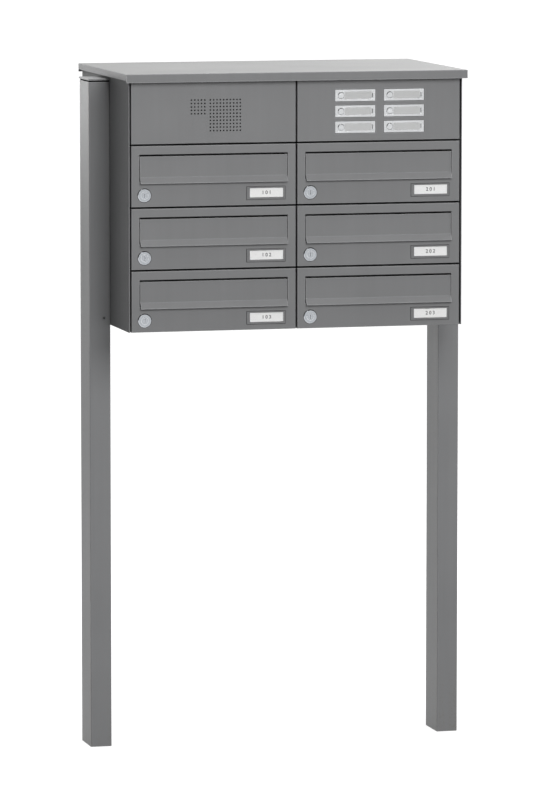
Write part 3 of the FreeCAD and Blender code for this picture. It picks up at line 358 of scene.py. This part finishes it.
def powder_coat(
    name, colour, roughness=0.42, dust_and_top_light=0.25, edge_lightening=0.9, ior=1.5, splash=False, quiet=None
):
    """Fine-textured powder coating: mottled, slightly pebbled, and lighter along edges, partly as
    thinner paint and partly as a painted highlight.

    Dust lies on faces that look up and also paints light on them; a splash soils the foot, and
    there is no painted edge highlight between the two corners of a quiet box, in X.
    """
    material, tree, shader = new_material(name, IOR=ior)
    place = tree.place()
    cloud = tree.noise(place, 6.0, 3.0)
    grain = tree.noise(place, 1600.0, 2.0)
    peel = tree.noise(place, 420.0, 2.0)
    runs = tree.noise(tree.stretched(place, (70.0, 70.0, 2.5)), 1.0, 3.0)
    tone = tree.math("MULTIPLY_ADD", cloud, 0.45, tree.math("MULTIPLY", grain, 0.35))
    tone = tree.math("MULTIPLY_ADD", runs, 0.2, tone)
    shade = tree.mix(tree.between(tone, *NOISE_RANGE), tinted(colour, 0.90), tinted(colour, 1.10))
    edge = tree.math("MULTIPLY", tree.edges(2.4 * MM), tree.between(grain, 0.25, 0.6, 0.5, 1.0))
    if quiet is not None:
        x = tree.axes(place)[0]
        low, high = quiet
        after_left = tree.between(x, low.x, low.x + MM)
        before_right = tree.between(x, high.x, high.x - MM)
        inside = tree.math("MULTIPLY", after_left, before_right)
        edge = tree.math("MULTIPLY", edge, tree.math("SUBTRACT", 1.0, inside))
    # Lighter along edges: partly thinner paint, partly a painted highlight.
    shade = tree.mix(tree.math("MULTIPLY", edge, edge_lightening), shade, tinted(colour, 2.1))
    # Lighter colour on faces that look up: partly dust, partly painted light on top faces.
    patches = tree.between(cloud, *NOISE_RANGE, 0.72, 1.0)
    lying = tree.math("MULTIPLY", tree.upward(), patches)
    shade = tree.mix(tree.math("MULTIPLY", lying, dust_and_top_light), shade, DUST_AND_TOP_LIGHT)
    if splash:
        low = tree.between(tree.axes(place)[2], SPLASH_HEIGHT, 0.0)
        low = tree.math("MULTIPLY", low, tree.between(runs, 0.4, 0.62))
        speck = tree.between(tree.noise(place, 260.0, 3.0), 0.55, 0.68)
        mud = tree.math("MULTIPLY", low, tree.math("MULTIPLY_ADD", speck, 0.5, 0.2))
        shade = tree.mix(mud, shade, MUD)
    gloss = tree.between(peel, *NOISE_RANGE, roughness - 0.05, roughness + 0.05)
    gloss = tree.math("MULTIPLY_ADD", lying, 0.10, gloss)
    texture = tree.math("MULTIPLY_ADD", peel, 0.7, tree.math("MULTIPLY", grain, 0.3))
    tree.surface(shader, shade, gloss, tree.bump(texture, 0.45, 0.15 * MM))
    return material


def brushed_metal(name, colour, roughness, grain_scale, wear_colour, black_behind=None):
    """Metal with fine parallel brushing, faint smudges and bright edges.

    It turns black from a depth behind the front face on, if one is given: a black body behind the
    face, which also paints shade in the gaps round the parts.
    """
    material, tree, shader = new_material(name, Metallic=1.0)
    place = tree.place()
    lines = tree.noise(tree.stretched(place, grain_scale), 1.0, 3.0)
    smudge = tree.noise(place, 45.0, 3.0)
    shade = tree.mix(tree.between(lines, *NOISE_RANGE), tinted(colour, 0.95), tinted(colour, 1.04))
    shade = tree.mix(tree.math("MULTIPLY", tree.edges(0.5 * MM), 0.7), shade, wear_colour)
    # Black behind the face: partly a black body, partly painted shade in the gaps round the
    # plates.
    if black_behind is not None:
        front = (FRONT + black_behind) * MM
        behind = tree.between(tree.axes(place)[1], front - 0.1 * MM, front)
        shade = tree.mix(behind, shade, BLACK)
    gloss = tree.between(lines, *NOISE_RANGE, roughness - 0.06, roughness + 0.06)
    gloss = tree.math("MULTIPLY_ADD", tree.between(smudge, 0.45, 0.7), 0.08, gloss)
    tree.surface(shader, shade, gloss, tree.bump(lines, 0.06, 0.01 * MM))
    return material


def lock_metal(name):
    """Nickel plate, turned: fine rings round each lock's own axis, and a painted highlight along
    the rim.
    """
    material, tree, shader = new_material(name, Metallic=1.0)
    place = tree.place()
    x, _, z = tree.axes(place)
    half_across, half_up = COLUMN_PITCH / 2 * MM, ROW_PITCH / 2 * MM
    across = tree.math("SUBTRACT", x, LOCK[0] * MM)
    across = tree.math("WRAP", across, half_across, -half_across)
    up = tree.math("SUBTRACT", z, (GRID_BASE + LOCK[1]) * MM)
    up = tree.math("WRAP", up, half_up, -half_up)
    squares = tree.math("MULTIPLY_ADD", across, across, tree.math("MULTIPLY", up, up))
    radius = tree.math("SQRT", squares)
    turned = tree.math("MULTIPLY", radius, 1.0 / MM)
    inputs = {"W": turned, "Scale": 4.0, "Detail": 3.0}
    rings = tree.add("ShaderNodeTexNoise", inputs, noise_dimensions="1D")
    specks = tree.noise(place, 900.0, 3.0)
    shade = tree.mix(tree.between(rings, *NOISE_RANGE), tinted(NICKEL, 0.86), tinted(NICKEL, 1.10))
    shade = tree.mix(tree.between(specks, 0.68, 0.78, 0.0, 0.4), shade, PITTED_NICKEL)
    # Painted highlight: lighter colour along the rim.
    shade = tree.mix(tree.math("MULTIPLY", tree.edges(1.2 * MM), 0.7), shade, RIM_HIGHLIGHT)
    gloss = tree.between(rings, *NOISE_RANGE, 0.16, 0.26)
    tree.surface(shader, shade, gloss, tree.bump(rings, 0.12, 0.06 * MM))
    return material


def moulded(name, colour, roughness=0.5, grain=700.0, edge_lightening=0.3, specular=0.5):
    """Moulded plastic with a fine eroded texture, also the near-black finish of the painted shade
    pieces.
    """
    material, tree, shader = new_material(name, IOR=1.46, Specular_IOR_Level=specular)
    place = tree.place()
    fine = tree.noise(place, grain, 3.0)
    cloud = tree.noise(place, 30.0, 2.0)
    tone = tree.math("MULTIPLY_ADD", fine, 0.6, tree.math("MULTIPLY", cloud, 0.4))
    shade = tree.mix(tree.between(tone, *NOISE_RANGE), tinted(colour, 0.85), tinted(colour, 1.15))
    shade = tree.mix(tree.math("MULTIPLY", tree.edges(0.4 * MM), edge_lightening), shade, tinted(colour, 1.7))
    gloss = tree.between(fine, *NOISE_RANGE, roughness - 0.07, roughness + 0.07)
    tree.surface(shader, shade, gloss, tree.bump(fine, 0.2, 0.08 * MM))
    return material


def woven(name, colour, thread):
    """Plain weave: two sets of threads, one over the other in turn."""
    material, tree, shader = new_material(name, IOR=1.45)
    x, _, z = tree.axes(tree.place())
    turns = math.tau / (2 * thread)
    warp = tree.math("SINE", tree.math("MULTIPLY", x, turns))
    weft = tree.math("SINE", tree.math("MULTIPLY", z, turns))
    relief = tree.math("MULTIPLY_ADD", tree.math("MULTIPLY", warp, weft), 0.5, 0.5)
    shade = tree.mix(relief, tinted(colour, 0.5), tinted(colour, 1.5))
    gloss = tree.between(relief, 0.0, 1.0, 0.95, 0.75)
    tree.surface(shader, shade, gloss, tree.bump(relief, 0.5, 0.2 * MM))
    return material


def paper(name, colour):
    """Label card with faint fibres."""
    material, tree, shader = new_material(name, IOR=1.4)
    place = tree.place()
    fibres = tree.noise(tree.stretched(place, (500.0, 500.0, 1400.0)), 1.0, 4.0, 0.6)
    cloud = tree.noise(place, 60.0, 2.0)
    tone = tree.math("MULTIPLY_ADD", fibres, 0.7, tree.math("MULTIPLY", cloud, 0.3))
    shade = tree.mix(tree.between(tone, *NOISE_RANGE), tinted(colour, 0.96), tinted(colour, 1.02))
    gloss = tree.between(fibres, *NOISE_RANGE, 0.7, 0.85)
    tree.surface(shader, shade, gloss, tree.bump(fibres, 0.15, 0.04 * MM))
    return material


def clear_sheet(name, tint):
    """Thin clear plastic: mostly see-through, glossy at a slant, with a few fine scratches."""
    material = bpy.data.materials.new(name)
    tree = Tree(material)
    tree.nodes.remove(tree.nodes["Principled BSDF"])
    scratches = tree.noise(tree.stretched(tree.place(), (40.0, 40.0, 900.0)), 1.0, 4.0, 0.4)
    rough = tree.between(scratches, 0.4, 0.75, 0.08, 0.14)
    through = tree.add("ShaderNodeBsdfTransparent", {"Color": tint})
    gloss = tree.add("ShaderNodeBsdfGlossy", {"Color": WHITE, "Roughness": rough})
    slant = tree.add("ShaderNodeLayerWeight", {"Blend": 0.2}, output="Facing")
    share = tree.math("MULTIPLY_ADD", slant, *CLEAR_GLOSS)
    both = tree.add("ShaderNodeMixShader", {0: share, 1: through, 2: gloss})
    tree.join(tree.nodes["Material Output"].inputs["Surface"], both)
    return material


MATERIALS = {
    "painted_sheet": powder_coat("painted_sheet", PAINT),
    # The posts' paint is a copy 32% lighter than the doors': painted light on the posts.
    "painted_post": powder_coat("painted_post", tinted(PAINT, 1.32), ior=1.36, splash=True),
    # The boxes' paint is a darker copy: painted shade in the gaps between the doors.
    "inner_box": powder_coat("inner_box", tinted(PAINT, 0.8), roughness=0.6, dust_and_top_light=0.1, edge_lightening=0.2),
    "anodised": brushed_metal(
        "anodised", (0.56, 0.57, 0.58), 0.20, (12.0, 300.0, 1800.0), (0.8, 0.8, 0.8, 1.0), 1.4
    ),
    "lock_metal": lock_metal("lock_metal"),
    "steel": brushed_metal(
        "steel", (0.45, 0.45, 0.46), 0.36, (900.0, 900.0, 120.0), (0.65, 0.65, 0.66, 1.0)
    ),
    "dark_plastic": moulded("dark_plastic", (0.022, 0.022, 0.024)),
    "holder_plastic": moulded("holder_plastic", tinted(PAINT, 0.97), 0.45),
}

# Finishes that single nodes have within their slots, and those of the pieces added here

# The roof's paint is a lighter copy with more dust: painted light on the roof.
LIGHTER_ROOF_PAINT = powder_coat("roof_paint", tinted(PAINT, 1.04), roughness=0.5, dust_and_top_light=0.8, ior=1.45)
SIDE_PAINT = powder_coat("side_paint", PAINT, roughness=0.6, ior=1.22)
SPEAKER_PAINT = powder_coat("speaker_paint", PAINT, quiet=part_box("intercom_housing"))
SCREW_PAINT = powder_coat("screw_paint", tinted(PAINT, 0.9), edge_lightening=0.4)
# Near-black finish of the pieces that paint shade: lines, gap strips, cap rings and screw sockets.
SHADE_BLACK = moulded("shade_black", (0.006, 0.006, 0.006), 0.8, 500.0, 0.1, 0.12)
CARD = paper("card", (0.985, 0.985, 0.98))
STRIP = paper("strip", (0.60, 0.605, 0.605))
INK = moulded("ink", (0.03, 0.03, 0.035), 0.6, 2500.0, 0.0)
CLEAR = clear_sheet("clear", WHITE)
CLOTH = woven("sound_cloth", (0.012, 0.012, 0.012), 0.5 * MM)


def dress_frame():
    """Gives each CAD node the finish of its material slot, or its own one in the same slot."""
    own_finish = {
        "cover_screws": SCREW_PAINT,
        "roof": LIGHTER_ROOF_PAINT,
        "speaker_panel": SPEAKER_PAINT,
        "left_side_panel": SIDE_PAINT,
        "right_side_panel": SIDE_PAINT,
    }
    for part in RECORD["subparts"]:
        node = frame["nodes"][part["node"]]
        material = own_finish.get(part["node"], MATERIALS[part["material_slot"]])
        for slot in node.material_slots:
            slot.material = material


# Pieces


def add_piece(name, mesh, material, body):
    """Puts a mesh in the scene with its material, riding on a body."""
    piece = bpy.data.objects.new(name, mesh)
    bpy.context.scene.collection.objects.link(piece)
    mesh.materials.clear()
    mesh.materials.append(material)
    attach(piece, body)
    return piece


def soften(piece, width):
    """Rounds the sharp edges, by a width in millimetres."""
    bevel = piece.modifiers.new("soft_edges", "BEVEL")
    bevel.width = width * MM
    bevel.segments = 2
    bevel.limit_method = "ANGLE"


def rounded_rectangle(left, low, right, high, radius, steps=5):
    """Outline points in X and Z, anticlockwise from the lower left corner."""
    centres = [
        (left + radius, low + radius, 180),
        (right - radius, low + radius, 270),
        (right - radius, high - radius, 0),
        (left + radius, high - radius, 90),
    ]
    points = []
    for x, z, start in centres:
        for step in range(steps + 1):
            angle = math.radians(start + 90 * step / steps)
            points.append((x + radius * math.cos(angle), z + radius * math.sin(angle)))
    return points


def point(mesh, x, y, z):
    """A new vertex, placed in millimetres."""
    return mesh.verts.new((x * MM, y * MM, z * MM))


def thicken(mesh, faces, depth):
    """Extrudes faces along Y, by a depth in millimetres."""
    grown = bmesh.ops.extrude_face_region(mesh, geom=faces)
    moved = [v for v in grown["geom"] if isinstance(v, bmesh.types.BMVert)]
    bmesh.ops.translate(mesh, verts=moved, vec=(0, depth * MM, 0))


def closed(mesh, name):
    """Turns the faces outwards and makes the working mesh a named one."""
    bmesh.ops.recalc_face_normals(mesh, faces=mesh.faces)
    data = bpy.data.meshes.new(name)
    mesh.to_mesh(data)
    mesh.free()
    return data


def slab(outline, front, rear):
    """A mesh between two depths, with an outline in millimetres."""
    mesh = bmesh.new()
    face = mesh.faces.new([point(mesh, x, rear, z) for x, z in outline])
    thicken(mesh, [face], front - rear)
    return closed(mesh, "slab")


def depths_from(face, depths):
    """A pair of depths in Y, given as distances behind a face."""
    return [face + depth for depth in depths]


def compartment_origin(name):
    """A compartment's lower left corner, in X and Z."""
    column, row = name.split("_")
    x = (COLUMNS.index(column) - 1) * COLUMN_PITCH
    return x, GRID_BASE + ROWS.index(row) * ROW_PITCH


def number_mesh(digits, x, depth, z):
    """Digits as a thin mesh, centred on a point in millimetres."""
    curve = bpy.data.curves.new("digits", "FONT")
    curve.body = digits
    curve.size = NUMBER_HEIGHT * MM
    curve.space_character = NUMBER_SPACING
    curve.align_x = "CENTER"
    curve.align_y = "CENTER"
    curve.extrude = NUMBER_THICKNESS * MM
    curve.offset = NUMBER_WEIGHT * MM
    text = bpy.data.objects.new("digits", curve)
    bpy.context.scene.collection.objects.link(text)
    bpy.context.view_layer.update()
    depsgraph = bpy.context.evaluated_depsgraph_get()
    mesh = bpy.data.meshes.new_from_object(text.evaluated_get(depsgraph))
    bpy.data.objects.remove(text)
    for vertex in mesh.vertices:
        across, up, out = vertex.co
        vertex.co = (x * MM + across, depth * MM - out, z * MM + up)
    mesh.update()
    return mesh


def ring_slab(outer, inner, front, rear):
    """A closed band between two outlines with as many points each, in millimetres."""
    mesh = bmesh.new()
    count = len(outer)
    loops = []
    for outline, depth in ((outer, front), (inner, front), (inner, rear), (outer, rear)):
        loops.append([point(mesh, x, depth, z) for x, z in outline])
    for number, loop in enumerate(loops):
        following = loops[(number + 1) % len(loops)]
        for i in range(count):
            k = (i + 1) % count
            mesh.faces.new([loop[i], loop[k], following[k], following[i]])
    return closed(mesh, "ring")


def circle_outline(x, z, radius, steps=48):
    """Points round a centre, in X and Z. Six steps give a hexagon."""
    turns = [math.tau * step / steps for step in range(steps)]
    return [(x + radius * math.cos(turn), z + radius * math.sin(turn)) for turn in turns]


def add_shade_line(name, outer, inner, body):
    """A thin black band on the front face, between two outlines: a painted shadow line."""
    band = ring_slab(outer, inner, *depths_from(FRONT, SHADE_LINE_DEPTHS))
    add_piece(name, band, SHADE_BLACK, body)


def outlines_round(left, low, right, high):
    """The outer and inner outline of a painted shadow line round a rectangle."""
    wide = SHADE_LINE_WIDTH
    outer = rounded_rectangle(left - wide, low - wide, right + wide, high + wide, SHADE_LINE_CORNERS[0])
    return outer, rounded_rectangle(left, low, right, high, SHADE_LINE_CORNERS[1])


def make_door_shade_lines():
    """Painted shadow lines on each door: thin black bands round the name holder and the lock, and
    above the slot.
    """
    for name in COMPARTMENTS:
        body = f"door_{name}"
        low, high = (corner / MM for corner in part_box(f"nameplate_{name}"))
        outer, inner = outlines_round(low.x, low.z, high.x, high.z)
        add_shade_line(f"holder_shade_line_{name}", outer, inner, body)
        left, base = compartment_origin(name)
        x, z = left + LOCK[0], base + LOCK[1]
        outer = circle_outline(x, z, LOCK_DISC / 2 + SHADE_LINE_WIDTH)
        add_shade_line(f"lock_shade_line_{name}", outer, circle_outline(x, z, LOCK_DISC / 2), body)
        right = left + COLUMN_PITCH - SLOT_LEFT
        low_edge, high_edge = (base + SLOT_TOP + edge for edge in SLOT_SHADE)
        outline = rounded_rectangle(left + SLOT_LEFT, low_edge, right, high_edge, SLOT_SHADE_CORNER)
        slot_shade_strip = slab(outline, FRONT + SHADE_LINE_DEPTHS[0], FRONT + SLOT_SHADE_REAR)
        add_piece(f"slot_shade_line_{name}", slot_shade_strip, SHADE_BLACK, body)


def inset_rectangle(edges, inset, radius):
    """A rectangle's outline, smaller by an inset on all sides."""
    left, low, right, high = edges
    return rounded_rectangle(left + inset, low + inset, right - inset, high - inset, radius)


def make_labels():
    """Numbered card and clear cover in each name holder."""
    for name in COMPARTMENTS:
        x, z = compartment_origin(name)
        left, low, right, high = (x + WINDOW[0], z + WINDOW[1], x + WINDOW[2], z + WINDOW[3])
        window = (left, low, right, high)
        body = f"door_{name}"
        floor = FRONT + WINDOW_FLOOR
        outline = inset_rectangle(window, CARD_MARGIN, CARD_CORNER)
        card = slab(outline, *depths_from(floor, CARD_DEPTHS))
        soften(add_piece(f"label_card_{name}", card, CARD, body), CARD_EDGE)
        outline = inset_rectangle(window, COVER_MARGIN, COVER_CORNER)
        cover = slab(outline, *depths_from(floor, COVER_DEPTHS))
        soften(add_piece(f"label_cover_{name}", cover, CLEAR, body), COVER_EDGE)
        column, row = name.split("_")
        digits = f"{COLUMNS.index(column) + 1}0{len(ROWS) - ROWS.index(row)}"
        number = number_mesh(digits, (left + right) / 2, floor + NUMBER_DEPTH, (low + high) / 2)
        add_piece(f"label_number_{name}", number, INK, body)


def make_bell_labels():
    """Painted shadow line round each bell plate as a black band, and a name strip and clear cover
    in its field.
    """
    width, height = BELL_SIZE
    before, beside, after = STRIP_MARGINS
    for name in COMPARTMENTS:
        low_corner, high_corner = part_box(f"bell_button_{name}")
        centre = (low_corner + high_corner) / 2 / MM
        left, low = centre.x - BUTTON_ACROSS, centre.z - height / 2
        # Painted shadow line: a black band round the bell plate.
        outer, inner = outlines_round(left, low, left + width, low + height)
        add_shade_line(f"bell_shade_line_{name}", outer, inner, "housing")
        start = left + BUTTON_ACROSS + BUTTON_HOLE / 2 + before
        end = left + width - CATCH_ACROSS - after
        base, top = low + BELL_BORDER + beside, low + height - BELL_BORDER - beside
        floor = FRONT + BELL_FLOOR
        outline = rounded_rectangle(start, base, end, top, CARD_CORNER)
        strip = slab(outline, *depths_from(floor, STRIP_DEPTHS))
        soften(add_piece(f"bell_strip_{name}", strip, STRIP, "housing"), STRIP_EDGE)
        start, end = start - BELL_COVER_OVERLAP, end + BELL_COVER_OVERLAP
        outline = rounded_rectangle(start, base, end, top, COVER_CORNER)
        cover = slab(outline, *depths_from(floor, BELL_COVER_DEPTHS))
        piece = add_piece(f"bell_cover_{name}", cover, CLEAR, "housing")
        soften(piece, BELL_COVER_EDGE)


def strip_lattice(columns, rows, half_width, front, rear):
    """Crossing strips as one closed mesh, cut from a grid of cells.

    A column is its middle in X. A row is a line in Z, and how far it reaches below and above.
    """
    xs = sorted({x + side for x in columns for side in (-half_width, half_width)})
    zs = sorted({z + side for z, below, above in rows for side in (-below, above)})
    mesh = bmesh.new()
    verts = {}
    for i, x in enumerate(xs):
        for k, z in enumerate(zs):
            verts[i, k] = point(mesh, x, rear, z)
    faces = []
    for i in range(len(xs) - 1):
        for k in range(len(zs) - 1):
            middle_x, middle_z = (xs[i] + xs[i + 1]) / 2, (zs[k] + zs[k + 1]) / 2
            on_column = any(abs(middle_x - x) < half_width for x in columns)
            on_row = any(z - below < middle_z < z + above for z, below, above in rows)
            if on_column or on_row:
                corners = [verts[i, k], verts[i + 1, k], verts[i + 1, k + 1], verts[i, k + 1]]
                faces.append(mesh.faces.new(corners))
    thicken(mesh, faces, front - rear)
    loose = [v for v in mesh.verts if not v.link_faces]
    bmesh.ops.delete(mesh, geom=loose, context="VERTS")
    return closed(mesh, "lattice")


def make_gap_shade():
    """Painted shade: black strips on the front rims of the boxes, seen in the gaps between the
    doors.
    """
    columns = [-COLUMN_PITCH + RIM / 2, 0.0, COLUMN_PITCH - RIM / 2]
    rows = []
    for row in range(len(ROWS) + 1):
        line = GRID_BASE + row * ROW_PITCH + DOOR_GAP
        below = 0.0 if row == 0 else GAP_SHADE_LAP
        above = 0.0 if row == len(ROWS) else GAP_SHADE_LAP
        rows.append((line, below, above))
    depths = depths_from(FRONT + BOX_FRONT, GAP_SHADE_DEPTHS)
    shade_strips = strip_lattice(columns, rows, GAP_SHADE_WIDTH / 2, *depths)
    piece = add_piece("gap_shade_strips", shade_strips, SHADE_BLACK, "housing")
    soften(piece, GAP_SHADE_EDGE)


def make_sound_cloth():
    """Black woven cloth behind the sound holes."""
    low, high = (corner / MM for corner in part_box("intercom_housing"))
    outline = inset_rectangle((low.x, low.z, high.x, high.z), CLOTH_INSET, CLOTH_CORNER)
    cloth = slab(outline, *depths_from(FRONT, CLOTH_DEPTHS))
    add_piece("sound_cloth", cloth, CLOTH, "housing")


def make_cap_shade_rings():
    """Painted shade: a black ring in the gap between each post's end and its cap plate."""
    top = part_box("post_caps")[1].z / MM - CAP_THICKNESS
    for side in COLUMNS:
        low, high = (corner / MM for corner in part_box(f"{side}_post"))
        edges = (low.x, low.y, high.x, high.y)
        outer = inset_rectangle(edges, CAP_SHADE_INSET, CAP_SHADE_CORNERS[0])
        inner = inset_rectangle(edges, POST_WALL + FIT, CAP_SHADE_CORNERS[1])
        ring = ring_slab(outer, inner, high.z + FIT, top - FIT)
        for vertex in ring.vertices:
            x, height, y = vertex.co
            vertex.co = (x, y, height)
        ring.flip_normals()
        add_piece(f"cap_shade_ring_{side}", ring, SHADE_BLACK, "housing")


def make_screw_socket_shades():
    """Painted shade: a black hexagon in the head of each cover screw, where its socket is."""
    front, rear = (corner.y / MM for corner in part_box("cover_screws"))
    side_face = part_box("right_side_panel")[1].x / MM
    places = []
    for number, side in enumerate((-1, 1)):
        post_x = side * (side_face + POST_SCREW[0])
        places.append((f"post_{number}", post_x, POST_SCREW[1], front, -1))
        for row, height in enumerate(REAR_SCREWS):
            name = f"rear_{number}_{row}"
            places.append((name, side * (side_face - REAR_SCREW_INSET), height, rear, 1))
    for name, x, height, face, outward in places:
        outline = circle_outline(x, GRID_BASE + height, SOCKET_ACROSS / 2, 6)
        socket = slab(outline, *(face + depth * outward for depth in SOCKET_DEPTHS))
        add_piece(f"screw_socket_shade_{name}", socket, SHADE_BLACK, "housing")


make_camera()
make_lights()
make_floor()
dress_frame()
make_labels()
make_door_shade_lines()
make_bell_labels()
make_gap_shade()
make_sound_cloth()
make_cap_shade_rings()
make_screw_socket_shades()
